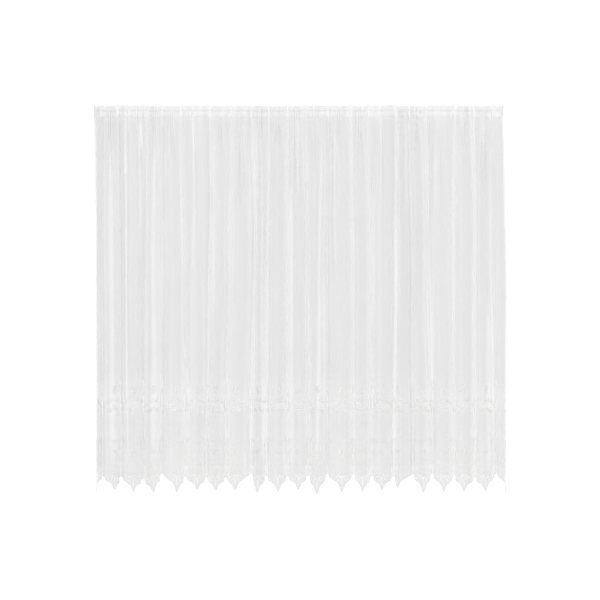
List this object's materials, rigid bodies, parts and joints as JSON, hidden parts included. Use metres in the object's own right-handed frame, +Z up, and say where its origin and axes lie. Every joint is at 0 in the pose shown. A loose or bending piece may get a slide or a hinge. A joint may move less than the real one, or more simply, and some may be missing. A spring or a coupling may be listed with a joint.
{
  "type": "lace curtain",
  "caption": "Gathered lace net curtain with a turned header, a woven heading tape, a flowered border and a pointed scalloped hem.",
  "frame": {"origin": "middle of the top edge, in the plane the curtain hangs in", "axes": "+X to the right along the top edge as seen from the front, +Z up, and the front of the curtain faces -Y"},
  "size_m": [1.547, 0.0713, 1.464],
  "materials": {
    "lace": "matt white knitted polyester lace, half sheer",
    "woven_tape": "matt white woven tape"
  },
  "bodies": {
    "root": {"lace_cloth": "lace", "heading_tape": "woven_tape"}
  },
  "joints": []
}
